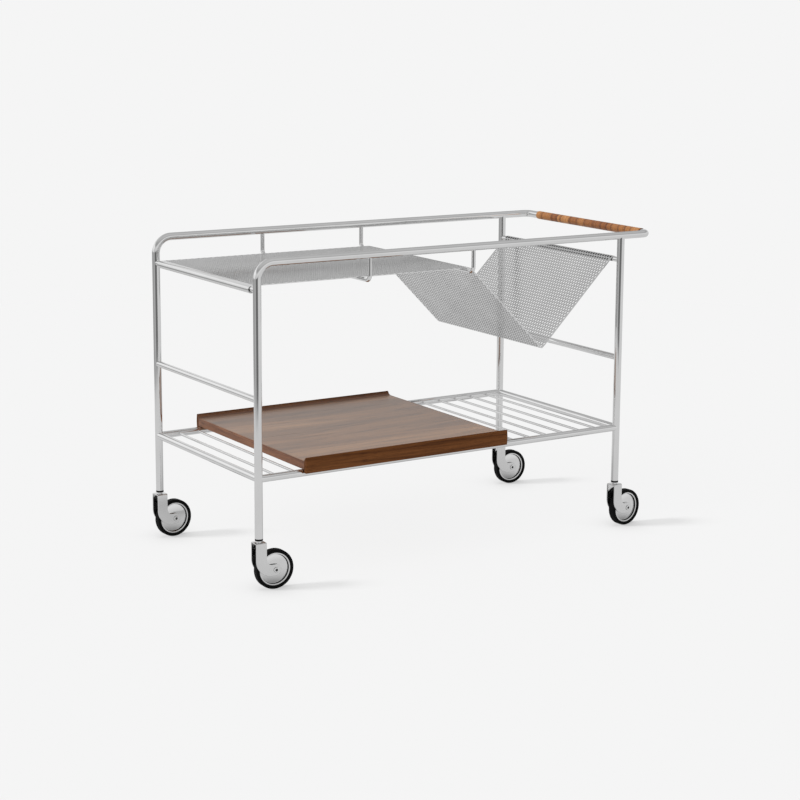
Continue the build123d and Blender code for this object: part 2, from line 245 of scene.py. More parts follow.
board_shades = ((0.222, 0.101, 0.036), (0.355, 0.167, 0.064), (0.445, 0.226, 0.095))
lip_shades = ((0.142, 0.050, 0.013), (0.180, 0.065, 0.018), (0.225, 0.086, 0.026))
band_shades = ((0.190, 0.078, 0.036), (0.300, 0.128, 0.064), (0.380, 0.176, 0.092))
cane_shades = ((0.35, 0.122, 0.030), (0.50, 0.205, 0.058), (0.66, 0.31, 0.105))
board_surface = {"lined": 0.55, "gloss": (0.20, 0.40), "specular": 0.5, "haze": 0.24}
finishes = {
    "chrome": metal("polished_chrome", 0.81, 0.86, roughness=(0.04, 0.09)),
    "perforated_steel": metal("plated_sheet", 0.76, 0.82, roughness=(0.10, 0.16), grain=15, relief=0.1),
    "walnut": walnut("walnut", "X", board_shades, **board_surface),
    "cane": cane("wound_cane", cane_shades),
    "black_plastic": moulded("black_plastic", 0.004, 0.008, roughness=(0.45, 0.6), grain=1500,
                             relief=0.05, specular=0.15),
    "tyre": moulded("tyre_rubber", 0.002, 0.004, roughness=(0.5, 0.65), grain=1100,
                    relief=0.05, specular=0.08),
    "steel": metal("zinc_steel", 0.50, 0.60, roughness=(0.28, 0.42), grain=500, relief=0.1),
}
lip_walnut = walnut("walnut_lip", "X", lip_shades, lined=0.65, gloss=(0.50, 0.65),
                    specular=0.1, haze=0.0)
cove_walnut = walnut("walnut_cove", "X", lip_shades, **board_surface)
edge_band = walnut("walnut_edge", "Y", band_shades, lined=0.55, gloss=(0.34, 0.46),
                   specular=0.3, haze=0.1)
pressed_chrome = metal("pressed_chrome", 0.77, 0.83, roughness=(0.08, 0.16))
spun_chrome = metal("spun_chrome", 0.80, 0.86, roughness=(0.05, 0.09))
punched_edge = metal("punched_edge", 0.30, 0.38, roughness=(0.35, 0.5))
# Near-black steel: painted shade inside the hems and in the bolts' bores
painted_shade_steel = metal("painted_shade_steel", 0.05, 0.08, roughness=(0.4, 0.55))


# Meshes, with angles in degrees

SHARP_ANGLE = 35
BEND_STEP = 3
WELD_STEPS_PER_METRE = 1e6


def piece(name, points, faces, body, slot, replaced, finish=None, sharp=SHARP_ANGLE):
    """A mesh that rides on a body in place of CAD nodes, smooth except across sharp edges."""
    mesh = bpy.data.meshes.new(name)
    mesh.from_pydata([tuple(point) for point in points], [], faces)
    mesh.validate()
    mesh.shade_smooth()
    mesh.set_sharp_from_angle(angle=radians(sharp))
    mesh.materials.append(finish or finishes[slot])
    made = bpy.data.objects.new(name, mesh)
    bpy.context.scene.collection.objects.link(made)
    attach(made, body)
    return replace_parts(made, *replaced)


def bevelled(made, width, segments=3):
    """Round the sharp edges of a piece."""
    edges = made.modifiers.new("edges", "BEVEL")
    edges.width, edges.segments = width, segments
    edges.limit_method, edges.angle_limit = "ANGLE", radians(SHARP_ANGLE)
    edges.harden_normals = True
    return made


def joined(meshes):
    """Several (points, faces) meshes as one."""
    points, faces = [], []
    for more_points, more_faces in meshes:
        faces += [[index + len(points) for index in face] for face in more_faces]
        points += more_points
    return points, faces


def arc(centre, radius, start, stop, steps):
    """Points of an arc in a plane between two angles."""
    return [(centre[0] + radius*cos(radians(angle)), centre[1] + radius*sin(radians(angle)))
            for angle in np.linspace(start, stop, steps + 1)]


def bent_route(corners, radii):
    """Points along straight runs, with each corner between them rounded to its radius."""
    corners = [Vector(corner) for corner in corners]
    route = [corners[0]]
    for before, corner, after, radius in zip(corners, corners[1:], corners[2:], radii):
        arrive, leave = (corner - before).normalized(), (after - corner).normalized()
        turn = arrive.angle(leave)
        centre = corner + (leave - arrive).normalized()*radius/cos(turn/2)
        spoke = corner - arrive*radius*tan(turn/2) - centre
        steps = round(degrees(turn)/BEND_STEP)
        route += [centre + Quaternion(arrive.cross(leave), turn*i/steps) @ spoke for i in range(steps + 1)]
    return route + [corners[-1]]


def swept(route, radius, sides=48):
    """A round bar along a route, closed at both ends."""
    points, faces = [], []
    side = (route[1] - route[0]).orthogonal()
    for i, place in enumerate(route):
        ahead = (route[min(i + 1, len(route) - 1)] - route[max(i - 1, 0)]).normalized()
        side = (side - ahead*side.dot(ahead)).normalized()
        other = ahead.cross(side)
        points += [place + (side*cos(2*pi*k/sides) + other*sin(2*pi*k/sides))*radius for k in range(sides)]
    for i in range(len(route) - 1):
        a, b = i*sides, (i + 1)*sides
        faces += [[a + k, a + (k + 1) % sides, b + (k + 1) % sides, b + k] for k in range(sides)]
    return points, faces + [list(range(sides))[::-1], list(range(len(points) - sides, len(points)))]


def lathe(profile, place, sides, loop=False):
    """A profile of (radius, height) turned about a place's Z axis: a solid, or a ring if it is a loop."""
    points = [place @ Vector((radius*cos(2*pi*k/sides), radius*sin(2*pi*k/sides), height))
              for radius, height in profile for k in range(sides)]
    faces = []
    for i in range(len(profile) if loop else len(profile) - 1):
        a, b = i*sides, (i + 1) % len(profile)*sides
        faces += [[a + k, b + k, b + (k + 1) % sides, a + (k + 1) % sides] for k in range(sides)]
    if not loop:
        faces += [list(range(sides)), list(range(len(points) - sides, len(points)))[::-1]]
    return points, faces


def prism(profile, start, stop):
    """A profile of (y, z) points carried along X, with its ends closed."""
    count = len(profile)
    points = [(x, y, z) for x in (start, stop) for y, z in profile]
    faces = [[i, (i + 1) % count, count + (i + 1) % count, count + i] for i in range(count)]
    return points, faces + [list(range(count))[::-1], list(range(count, 2*count))]


def outward(made):
    """Turn every face of a closed piece outwards."""
    mesh = made.data
    work = bmesh.new()
    work.from_mesh(mesh)
    bmesh.ops.recalc_face_normals(work, faces=work.faces)
    work.to_mesh(mesh)
    work.free()
    return made


def welded(polygons):
    """Points and faces of polygons that share their corners, to a micrometre."""
    found, points, faces = {}, [], []
    for polygon in polygons:
        face = []
        for point in polygon:
            key = tuple(round(value*WELD_STEPS_PER_METRE) for value in point)
            if key not in found:
                found[key] = len(points)
                points.append(point)
            face.append(found[key])
        faces.append(face)
    return points, faces


# Chrome tubes and bars

tube_low, tube_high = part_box("frame_tube")
sheet_low, sheet_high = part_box("folded_sheet")
wire_low, wire_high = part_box("shelf_wires")
tube_radius = 7.5*MM
leg_bend = 32*MM
handle_bend = 15*MM
support_bend = 10*MM
left_x, handle_x = tube_low.x + tube_radius, tube_high.x - tube_radius
half_gauge = tube_high.y - tube_radius
rail_z = tube_high.z - tube_radius
foot_z = tube_low.z
half_sheet = sheet_high.y
wire_count = 19
wire_sides = 24
wire_radius = (wire_high.z - wire_low.z)/2
wire_z = wire_low.z + wire_radius


def chrome_bar(node, route, radius):
    """A chrome bar in place of the CAD node of the same name."""
    return piece(f"{node}_polished", *swept(route, radius), "frame", "chrome", [node])


chrome_bar("frame_tube", bent_route(
    [(left_x, -half_gauge, foot_z), (left_x, -half_gauge, rail_z), (handle_x, -half_gauge, rail_z),
     (handle_x, half_gauge, rail_z), (left_x, half_gauge, rail_z), (left_x, half_gauge, foot_z)],
    [leg_bend, handle_bend, handle_bend, leg_bend]), tube_radius)

straight_bars = [f"right_leg_{side}" for side in ("front", "back")]
straight_bars += [f"{bar}_{end}" for bar in ("mid_bar", "hem_rod", "shelf_end")
                  for end in ("left", "right")]
straight_bars += [f"shelf_rail_{side}" for side in ("front", "back")]
for node in straight_bars:
    low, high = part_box(node)
    size = high - low
    lengthwise = Vector([float(extent == max(size)) for extent in size])
    middle, half = (low + high)/2, lengthwise*max(size)/2
    in_hem = [middle + lengthwise*reach for reach in (-half_sheet, half_sheet)] if "hem" in node else []
    bar = chrome_bar(node, [middle - half, *in_hem, middle + half], min(size)/2)
    if in_hem:
        # Painted shade inside the hem: the covered middle takes a near-black steel, so that the holes over
        # it look dark
        bar.data.materials.append(painted_shade_steel)
        for face in bar.data.polygons:
            face.material_index = int(abs(face.center.y) < half_sheet/2)

for node in ("support_rod_near", "support_rod_fold"):
    low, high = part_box(node)
    x, radius = (low.x + high.x)/2, (high.x - low.x)/2
    under = low.z + radius
    corners = [(x, -half_gauge, high.z), (x, -half_gauge, under), (x, half_gauge, under),
               (x, half_gauge, high.z)]
    chrome_bar(node, bent_route(corners, [support_bend, support_bend]), radius)

wires = []
for x in np.linspace(wire_low.x + wire_radius, wire_high.x - wire_radius, wire_count):
    ends = [Vector((x, y, wire_z)) for y in (wire_low.y, wire_high.y)]
    wires.append(swept(ends, wire_radius, wire_sides))
piece("shelf_wires_polished", *joined(wires), "frame", "chrome", ["shelf_wires"])


# Perforated sheet: its underside is a path in the XZ plane, from the left hem to the right hem

right_x = sum(corner.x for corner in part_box("hem_rod_right"))/2
sheet_thickness = 1.2*MM
hem_outside = left_x - sheet_low.x
hem_inside = hem_outside - sheet_thickness
hem_z = sheet_high.z - hem_outside
left_wrap, right_wrap = radians(210), radians(165)
left_hem_lines, right_hem_lines = 25, 4
flat_length = 477*MM
slope = radians(45)
fold_radius = 4*MM
path_steps = 40000

holes_across = 47
hole_pitch = 7.9*MM
hole_radius = 2.65*MM
left_margin = 6*MM
right_margin = 10.5*MM
last_row_gap = 1*MM
edge_slack = 0.1*MM
row_pitch = hole_pitch*sqrt(3)/2
cell_corner = hole_pitch/sqrt(3)
half_cells = holes_across*hole_pitch/2

hook = Vector((right_x - hem_inside*sin(slope), hem_z + hem_inside*cos(slope)))
fold = Vector((left_x + flat_length, hem_z + hem_inside))
fall = ((hook.x - fold.x)/cos(slope) + (fold.y - hook.y)/sin(slope))/2
pocket = Vector((fold.x + fall*cos(slope), fold.y - fall*sin(slope)))
fold_setback = fold_radius*tan(slope/2)
pocket_setback = fold_radius*tan(slope)
# Length and turn of each span: left hem, flat shelf, fold, fall, pocket's bottom, rise and right hem
spans = (
    (hem_inside*left_wrap, -left_wrap),
    (flat_length - fold_setback, 0),
    (fold_radius*slope, -slope),
    (fall - fold_setback - pocket_setback, 0),
    (fold_radius*2*slope, 2*slope),
    ((hook - pocket).length - pocket_setback, 0),
    (hem_inside*right_wrap, -right_wrap),
)
span_ends = np.cumsum([0] + [length for length, turn in spans])
hem_end, flat_end, fall_end, blank_end = span_ends[[1, 2, 4, 7]]
headings = np.cumsum([left_wrap] + [turn for length, turn in spans])
runs = np.linspace(0, blank_end, path_steps + 1)
heading_at = np.interp(runs, span_ends, headings)
step_headings = (heading_at[1:] + heading_at[:-1])/2
step = runs[1]
path_start = (left_x + hem_inside*cos(pi/2 + left_wrap), hem_z + hem_inside*sin(pi/2 + left_wrap))
path_x = path_start[0] + np.concatenate([[0], np.cumsum(np.cos(step_headings)*step)])
path_z = path_start[1] + np.concatenate([[0], np.cumsum(np.sin(step_headings)*step)])


def on_sheet(flat_points, lift):
    """Points of the flat blank, as (run, y), bent to the sheet's path and lifted off its underside."""
    run, y = np.array(flat_points).T
    heading = np.interp(run, runs, heading_at)
    x = np.interp(run, runs, path_x) - lift*np.sin(heading)
    z = np.interp(run, runs, path_z) + lift*np.cos(heading)
    return np.stack([x, y, z], 1)


def hole_cell(run, y):
    """The metal around one hole: pentagons between a hexagon and the hole."""
    def at(radius, twelfth):
        """A point of the blank at a radius from the hole's middle, so many twelfths round."""
        angle = twelfth*pi/6
        return run + radius*sin(angle), y + radius*cos(angle)

    for turn in range(1, 13, 2):
        yield [at(cell_corner, turn), at(cell_corner, turn + 2), at(hole_radius, turn + 2),
               at(hole_radius, turn + 1), at(hole_radius, turn)]


def row_run(row):
    """Where a row of holes lies on the blank."""
    return hem_end + left_margin + cell_corner + row*row_pitch


def rows_before(run):
    """The number of rows that lie before a run of the blank."""
    return int((run - row_run(0))/row_pitch) + 1


def hole_row(row):
    """One row's cells and edge strips. Every second row is a hole shorter and ends in plain half cells."""
    run = row_run(row)
    short = row % 2
    reach = cell_corner if short else cell_corner/2
    for column in range(holes_across - short):
        yield from hole_cell(run, (column + (1 + short)/2)*hole_pitch - half_cells)
    for side in (-1, 1):
        edge, inner, outer = side*half_cells, side*(half_cells - hole_pitch/2), side*half_sheet
        if short:
            plain = [(run - cell_corner, edge), (run - cell_corner/2, inner), (run + cell_corner/2, inner),
                     (run + cell_corner, edge)]
            yield plain[::side]
        strip = [(run - reach, edge), (run + reach, edge), (run + reach, outer), (run - reach, outer)]
        yield strip[::-side]


def hole_rows(first, last):
    """The polygons of all rows from the first up to the last, without it."""
    return [polygon for row in range(first, last) for polygon in hole_row(row)]


def plain_strip(lines):
    """Plain metal between lines across the sheet.

    A line is a run, or a (row, side) whose hexagons it follows.
    """
    places = [k*hole_pitch/2 - half_cells for k in range(2*holes_across + 1)]

    def across(line):
        """The points of a line, from one long edge to the other."""
        if not isinstance(line, tuple):
            return [(line, y) for y in (-half_sheet, *places, half_sheet)]
        row, side = line
        reach = (cell_corner/2, cell_corner)
        inner = [(row_run(row) + side*reach[(k + row) % 2], y) for k, y in enumerate(places)]
        return [(inner[0][0], -half_sheet), *inner, (inner[-1][0], half_sheet)]

    for low, high in zip(lines, lines[1:]):
        low, high = across(low), across(high)
        for i in range(len(low) - 1):
            yield [high[i], high[i + 1], low[i + 1], low[i]]


def bent_sheet(name, polygons):
    """A closed piece of the sheet from polygons of its flat blank.

    Its walls are dark in the holes and across the sheet, and plated along the two long edges.
    """
    flat, faces = welded(polygons)
    count = len(flat)
    open_edges = {}
    for face in faces:
        for a, b in zip(face, face[1:] + face[:1]):
            if (b, a) in open_edges:
                del open_edges[b, a]
            else:
                open_edges[a, b] = True
    points = np.concatenate([on_sheet(flat, 0), on_sheet(flat, sheet_thickness)])
    upper = [[i + count for i in reversed(face)] for face in faces]
    walls = [[b, a, a + count, b + count] for a, b in open_edges]
    made = piece(name, points, faces + upper + walls, "frame", "perforated_steel", ["folded_sheet"])
    made.data.materials.append(punched_edge)
    dark = [int(abs(flat[a][1] + flat[b][1])/2 < half_sheet - edge_slack) for a, b in open_edges]
    made.data.polygons.foreach_set("material_index", [0]*2*len(faces) + dark)


fold_row = rows_before(flat_end)
shelf_row = fold_row//2
pocket_row = rows_before(fall_end)
end_row = rows_before(blank_end - right_margin - cell_corner)
last_row_end = row_run(end_row - 1) + cell_corner + last_row_gap
left_lines = [*np.linspace(0, hem_end, left_hem_lines), (0, -1)]
right_lines = [(end_row - 1, 1), *np.linspace(last_row_end, blank_end, right_hem_lines)]
bent_sheet("sheet_shelf_left", [*plain_strip(left_lines), *hole_rows(0, shelf_row)])
bent_sheet("sheet_shelf_right", hole_rows(shelf_row, fold_row))
bent_sheet("sheet_fall", hole_rows(fold_row, pocket_row))
bent_sheet("sheet_rise", [*hole_rows(pocket_row, end_row), *plain_strip(right_lines)])


# Cane grip: one strip wound round the handle, crowned across its width

grip_low, grip_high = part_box("grip_core")
grip_x, grip_z = (grip_low.x + grip_high.x)/2, (grip_low.z + grip_high.z)/2
strand_low, strand_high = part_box("grip_strand")
grip_radius = (strand_high.z - strand_low.z)/2
grip_turns = 78
grip_steps = 48
grip_seed = 5
strip_crown = 0.4*MM
crown_power = 3
swell_range = (0.6, 1.0)
# Places across the strip's width. Its last edge is the first edge of the next turn
strip_across = (-0.5, -0.46, -0.36, -0.18, 0, 0.18, 0.36, 0.46)
rim_inside = tube_radius + 0.05*MM
rim_outside = grip_radius - 0.6*strip_crown


def wound_strip():
    """The outside of the strip, turn by turn, and a flat ring at each end of the wrap."""
    pitch = (grip_high.y - grip_low.y)/grip_turns
    swell = np.random.default_rng(grip_seed).uniform(*swell_range, grip_turns + 3)
    width = len(strip_across)
    steps = (grip_turns + 1)*grip_steps
    points, faces = [], []
    for i in range(steps + 1):
        turn = i/grip_steps
        angle = 2*pi*turn
        tall = strip_crown*np.interp(turn, np.arange(grip_turns + 3), swell)
        for across in strip_across:
            y = min(max(grip_low.y + pitch*(turn + across - 0.5), grip_low.y), grip_high.y)
            radius = grip_radius - strip_crown + tall*(1 - abs(2*across)**crown_power)
            points.append((grip_x + radius*cos(angle), y, grip_z + radius*sin(angle)))
    for i in range(steps):
        a = i*width
        faces += [[a + k, a + k + 1, a + width + k + 1, a + width + k] for k in range(width - 1)]
        b = a + grip_steps*width
        if b + width < len(points):
            faces.append([a + width - 1, b, b + width, a + 2*width - 1])
    for y, inward in ((grip_low.y, False), (grip_high.y, True)):
        rim = len(points)
        for radius in (rim_inside, rim_outside):
            points += [(grip_x + radius*cos(2*pi*k/grip_steps), y, grip_z + radius*sin(2*pi*k/grip_steps))
                       for k in range(grip_steps)]
        for k in range(grip_steps):
            n = (k + 1) % grip_steps
            face = [rim + k, rim + n, rim + grip_steps + n, rim + grip_steps + k]
            faces.append(face[::-1] if inward else face)
    return points, faces


piece("cane_wrap", *wound_strip(), "frame", "cane", ["grip_core", "grip_strand"], sharp=50)


# Walnut tray: a board with a band on each end, and a lip along each long side

board_low, board_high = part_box("tray_board")
band_depth = 2*MM
board_round = 0.6*MM
lip_bow = 1.5*MM
lip_crest = 3.0*MM
lip_cove = 1.2*MM
lip_round = 0.9*MM
lip_sharp = 25
bulge_steps = 12
# The fillet between lip and board, and the point of the lip's hollow that it starts from
cove_reach = 6*MM
cove_hollow = 1.6*MM
cove_start = 2


def tray_block(name, start, stop, finish):
    """A stretch of the board with rounded edges."""
    low, high = board_low, board_high
    outline = [(low.y, low.z), (high.y, low.z), (high.y, high.z), (low.y, high.z)]
    made = piece(name, *prism(outline, start, stop), "tray", "walnut", ["tray_board"], finish)
    bevelled(made, board_round)


def bulge(first, last, height):
    """A shallow curve between two points, right of their chord, or left of it if height is negative."""
    first, last = Vector(first), Vector(last)
    chord = last - first
    aside = Vector((chord.y, -chord.x)).normalized()
    return [tuple(first + chord*t + aside*height*4*t*(1 - t))
            for t in np.linspace(0, 1, bulge_steps + 1)]


def tray_edge(name, node, ends, toward, outline, finish):
    """A closed bar between two ends along a side of the board, from an outline of (distance out, z)."""
    profile = [(toward*(board_high.y + out), z) for out, z in outline]
    made = piece(name, *prism(profile, *ends), "tray", "walnut", [node], finish, lip_sharp)
    return outward(made)


tray_block("tray_panel", board_low.x + band_depth, board_high.x - band_depth, None)
tray_block("tray_band_left", board_low.x, board_low.x + band_depth, edge_band)
tray_block("tray_band_right", board_high.x - band_depth, board_high.x, edge_band)
for side, toward in (("front", -1), ("back", 1)):
    node = f"tray_lip_{side}"
    low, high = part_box(node)
    ends = (low.x, high.x)
    lip_edge = high.y - low.y - lip_bow
    crest_inside = lip_edge - lip_crest
    inner = bulge((crest_inside, high.z), (0, board_high.z), -lip_cove)
    lip = [(0, low.z), *bulge((lip_edge, low.z), (lip_edge, high.z), lip_bow), *inner]
    bevelled(tray_edge(f"{node}_shaped", node, ends, toward, lip, lip_walnut), lip_round)
    cove = bulge(inner[cove_start], (-cove_reach, board_high.z), -cove_hollow) + inner[:cove_start:-1]
    tray_edge(f"tray_cove_{side}", node, ends, toward, cove, cove_walnut)


# Castors: pressed fork, axle bolt, hub caps and tyre
# Heights along the axle are from the wheel's middle

wheel_radius = joints["wheel_front_left"]["pos_m"][2]
fork_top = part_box("fork_front_left")[1].z
fork_thickness = 2*MM
fork_half = 11.5*MM
fork_arm_half = 10.75*MM
fork_corner = 2.5*MM
fork_arm_end = 8.5*MM
fork_round = 0.5*MM
swivel_gap = 0.3*MM
cup_top = fork_top + 3.2*MM
cup_radius = 5.0*MM
cup_round = 0.4*MM
collar_round = 0.5*MM
collar_sides = 64
plug_radius = 5.9*MM
plug_length = 20*MM
stem_radius = 4.1*MM
bolt_head = (5.3*MM, 1.7*MM)
bolt_gap = 0.05*MM
bolt_round = 1.0*MM
bolt_groove = 0.6*MM
bolt_sides = 48
bolt_tip_cut = 0.4*MM
bore_radius = 2.5*MM
bore_depth = 1.6*MM
bore_eye = 0.25*MM
bore_lit = 0.6*MM
bore_cut = 0.3*MM
bore_dark_rings = 2
axle_radius = 3*MM
nut_height = 4*MM
wheel_sides = 96
rim_radius = 31.4*MM
tyre_half = 8*MM
tyre_shoulder = 2.5*MM
tyre_lip = 0.8*MM
tyre_gap = 0.1*MM
cap_seat = 2.55*MM
cap_ring = (2.9*MM, 3.4*MM)
ring_round = 0.7*MM
dome_edge = cap_seat + 0.4*MM
dome_flat = 7*MM
dome_top = dome_edge + 3.4*MM
gap_depth = 1.9*MM


def castor_place(corner):
    """The castor's own axes and its trail: Z up its leg, X along the trail, and the front at -Y."""
    swivel = Vector(joints[f"swivel_{corner}"]["pos_m"])
    hub = Vector(joints[f"wheel_{corner}"]["pos_m"])
    ahead = hub - swivel
    ahead.z = 0
    trail = ahead.length
    ahead.normalize()
    up = Vector((0, 0, 1))
    turned = Matrix((ahead, up.cross(ahead), up)).transposed().to_4x4()
    return Matrix.Translation((swivel.x, swivel.y, 0)) @ turned, trail


def arm_outline(trail):
    """The fork arm from the side, from its top front corner round the axle and back, as (x, z)."""
    bend = trail - fork_arm_end
    bend_centre = (bend, wheel_radius + bend)
    top = fork_top - fork_corner
    return [(-fork_arm_half, top), *arc(bend_centre, bend + fork_arm_half, 180, 270, 20),
            *arc((trail, wheel_radius), fork_arm_half, -90, 90, 28),
            *arc(bend_centre, bend - fork_arm_half, 270, 180, 12), (fork_arm_half, top)]


def fork_sheet(trail):
    """The fork's outer face: an arm, the rounded top and the other arm."""
    outline = arm_outline(trail)
    corner_z = fork_top - fork_corner
    rounding = arc((fork_corner - fork_half, corner_z), fork_corner, 180, 90, 6)
    crown = [(-fork_half, corner_z), *rounding[1:]]
    crown += [(-y, z) for y, z in reversed(crown)]
    polygons = [[(x, -fork_half, z) for x, z in outline],
                [(x, fork_half, z) for x, z in reversed(outline)]]
    for (y0, z0), (y1, z1) in zip(crown, crown[1:]):
        polygons.append([(-fork_arm_half, y0, z0), (fork_arm_half, y0, z0), (fork_arm_half, y1, z1),
                         (-fork_arm_half, y1, z1)])
    return welded(polygons)


def collar_profile():
    """The black collar under the leg, with a plug up into the tube, as (radius, z)."""
    edge = tube_radius - collar_round
    return [(plug_radius, foot_z + plug_length), (plug_radius, foot_z),
            *arc((edge, foot_z - collar_round), collar_round, 90, 0, 4),
            *arc((edge, cup_top + collar_round), collar_round, 0, -90, 4), (stem_radius, cup_top)]


def cup_profile():
    """The plated cup between the collar and the fork, as (radius, z)."""
    under = fork_top + swivel_gap
    return [(stem_radius, cup_top),
            *arc((cup_radius - cup_round, cup_top - cup_round), cup_round, 90, 0, 6),
            (cup_radius, under), (stem_radius, under)]


def bolt_profile():
    """The axle bolt from the floor of its bore over the head and along the shank to its tip."""
    radius, height = bolt_head
    base = fork_half + bolt_gap
    top = base + height
    tip = -base - nut_height
    return [(bore_eye, top - bore_depth), (bore_radius, top - bore_depth), (bore_radius, top - bore_lit),
            (bore_radius, top - bore_cut), (bore_radius + bore_cut, top),
            *arc((radius - bolt_round, top - bolt_round), bolt_round, 90, 0, 8),
            (radius, base + bolt_groove), (radius - bolt_groove, base + bolt_groove),
            (radius - bolt_groove, base), (axle_radius, base),
            (axle_radius, tip + bolt_tip_cut), (axle_radius - bolt_tip_cut, tip)]


def cap_profile():
    """A hub cap from its middle outwards: a dome, a gap and a raised ring.

    The second value is the place in the profile where the gap's wall starts.
    """
    ring_width, ring_height = cap_ring
    dome_radius = rim_radius - ring_width
    ring_top = cap_seat + ring_height
    rise = dome_top - dome_edge
    reach = dome_radius - dome_flat
    ball = (reach*reach + rise*rise)/(2*rise)
    dome = arc((dome_flat, dome_top - ball), ball, 90, 90 - degrees(asin(reach/ball)), 32)
    ring = arc((dome_radius + ring_round, ring_top - ring_round), ring_round, 180, 90, 8)
    ring += arc((rim_radius - ring_round, ring_top - ring_round), ring_round, 90, 0, 8)
    gap = [(dome_radius, dome_edge + gap_depth)]
    return dome + gap + ring + [(rim_radius, cap_seat)], len(dome) - 1


def tyre_profile():
    """The tyre's section: a small lip against the rim, a flat side, round shoulders and the tread."""
    inside = rim_radius + tyre_gap
    half = arc((inside + tyre_lip, tyre_half - tyre_lip), tyre_lip, 180, 90, 4)
    half += arc((wheel_radius - tyre_shoulder, tyre_half - tyre_shoulder), tyre_shoulder, 90, 0, 8)
    return half + [(radius, -height) for radius, height in reversed(half)]


castor_pieces = []
for corner in CORNERS:
    place, trail = castor_place(corner)
    swivel, wheel = f"swivel_{corner}", f"wheel_{corner}"
    axle = place @ Matrix.Translation((trail, 0, wheel_radius)) @ Matrix.Rotation(pi/2, 4, "X")
    behind = axle @ Matrix.Rotation(pi, 4, "X")

    points, faces = fork_sheet(trail)
    points = [place @ Vector(point) for point in points]
    fork = piece(f"fork_{corner}_pressed", points, faces, swivel, "chrome", [f"fork_{corner}"],
                 pressed_chrome)
    walls = fork.modifiers.new("walls", "SOLIDIFY")
    walls.thickness, walls.offset = fork_thickness, -1
    bevelled(fork, fork_round, 2)

    leg = Matrix.Translation((place.translation.x, place.translation.y, 0))
    collar = lathe(collar_profile(), leg, collar_sides)
    piece(f"leg_collar_{corner}", *collar, "frame", "black_plastic", [f"leg_insert_{corner}"])
    cup = lathe(cup_profile(), leg, collar_sides)
    piece(f"leg_cup_{corner}", *cup, "frame", "chrome", [f"leg_insert_{corner}"])

    turned = lathe(bolt_profile(), axle, bolt_sides)
    bolt = piece(f"axle_bolt_{corner}_turned", *turned, swivel, "chrome", [f"axle_bolt_{corner}"])
    # Painted shade in the bore: its floor and lower wall take the near-black steel
    bolt.data.materials.append(painted_shade_steel)
    for face in bolt.data.polygons[:bore_dark_rings*bolt_sides]:
        face.material_index = 1

    profile, gap_wall = cap_profile()
    caps = [lathe(profile, side, wheel_sides) for side in (axle, behind)]
    hub = piece(f"hub_caps_{corner}_spun", *joined(caps), wheel, "chrome", [f"hub_caps_{corner}"],
                spun_chrome)
    # Painted shade in the groove: the gap's wall between dome and ring takes the black plastic finish
    hub.data.materials.append(finishes["black_plastic"])
    for cap in range(len(caps)):
        first = cap*len(caps[0][1]) + gap_wall*wheel_sides
        for face in range(first, first + wheel_sides):
            hub.data.polygons[face].material_index = 1

    ring = lathe(tyre_profile(), axle, wheel_sides, loop=True)
    tyre = piece(f"tyre_{corner}_moulded", *ring, wheel, "tyre", [f"tyre_{corner}"])
    castor_pieces += [fork, hub, tyre]


# Carried-over solids take the finish of their slot

for subpart in frame["record"]["subparts"]:
    node = frame["nodes"][subpart["node"]]
    node.data.materials.clear()
    node.data.materials.append(finishes[subpart["material_slot"]])


# Stage: pale floor, soft light and the photograph's camera

background = 0.913
fill_light = 0.6
key_light = 1.4
key_softness = 40
key_heading = Vector((0.8, 0.25, -0.9)).normalized()
low_light = 19.0
low_softness = 14
low_heading = Vector((0.94, -0.35, -0.52)).normalized()
toward_camera = (-0.57, -0.82, 0)
toward_light = (0.56, -0.83, 0)
window_dip = 0.16
camera_tone = 0.15

floor_radius = 3.2
floor_sides = 96
# Share of lamp light that the floor gives back. The rest of its tone is its own
floor_caught = 0.05
# Painted shade from occlusion is looked for to the left of each point, so it falls to the right of the
# castors
shade_reach = 0.18
shade_lean = Vector((-0.93, -0.18, 0.33))
# The floor in reflections: painted shade under the cart, and gone beyond the pool
footprint_scale = (1.9, 3.0, 1)
under_tone, open_tone = 0.44, 0.66
pool_start, pool_stop = 1.75, 2.35

lens_length = 88.315
sensor_width = 36.0
lens_shift = (-0.1006, -0.0556)
camera_right = Vector((0.82300, -0.56789, 0.01345))
camera_up = Vector((0.09339, 0.15863, 0.98291))
camera_back = Vector((-0.56032, -0.80767, 0.18359))
camera_place = (-2.0995, -3.2887, 1.0934)


def off_surface(tree, path):
    """Whether a ray comes off a polished surface or through a clear one."""
    return calc(tree, "MAXIMUM", path["Is Glossy Ray"], path["Is Transmission Ray"])


def blended(tree, factor, first, second):
    """Two shaders mixed by a factor."""
    return add(tree, "ShaderNodeMixShader", {0: factor, 1: first.outputs[0], 2: second.outputs[0]})


